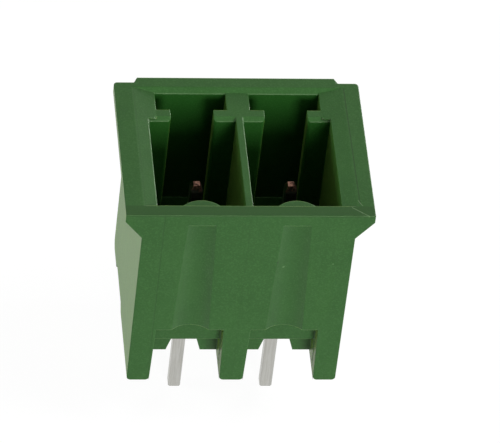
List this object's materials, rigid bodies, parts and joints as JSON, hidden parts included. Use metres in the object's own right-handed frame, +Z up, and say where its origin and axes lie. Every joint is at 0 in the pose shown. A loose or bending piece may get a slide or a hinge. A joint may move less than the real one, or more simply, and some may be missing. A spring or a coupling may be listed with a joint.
{
  "type": "pluggable terminal block header",
  "caption": "Upright board header of a pluggable terminal block: an open-topped moulded housing with ribbed cells, each around a straight contact pin with a solder tail.",
  "frame": {"origin": "middle of the pin row, on the plane where the feet meet the circuit board", "axes": "+X along the pin row, -Y towards the grooved front wall, +Z up, out of the open mouth"},
  "size_m": [0.01, 0.0078, 0.0125],
  "materials": {
    "green_moulding": "fine eroded mould texture, dark green",
    "tinned_copper": "dull tin plating over a copper alloy"
  },
  "bodies": {
    "root": {"housing": "green_moulding", "contact_pin_1": "tinned_copper", "contact_pin_2": "tinned_copper"}
  },
  "joints": []
}
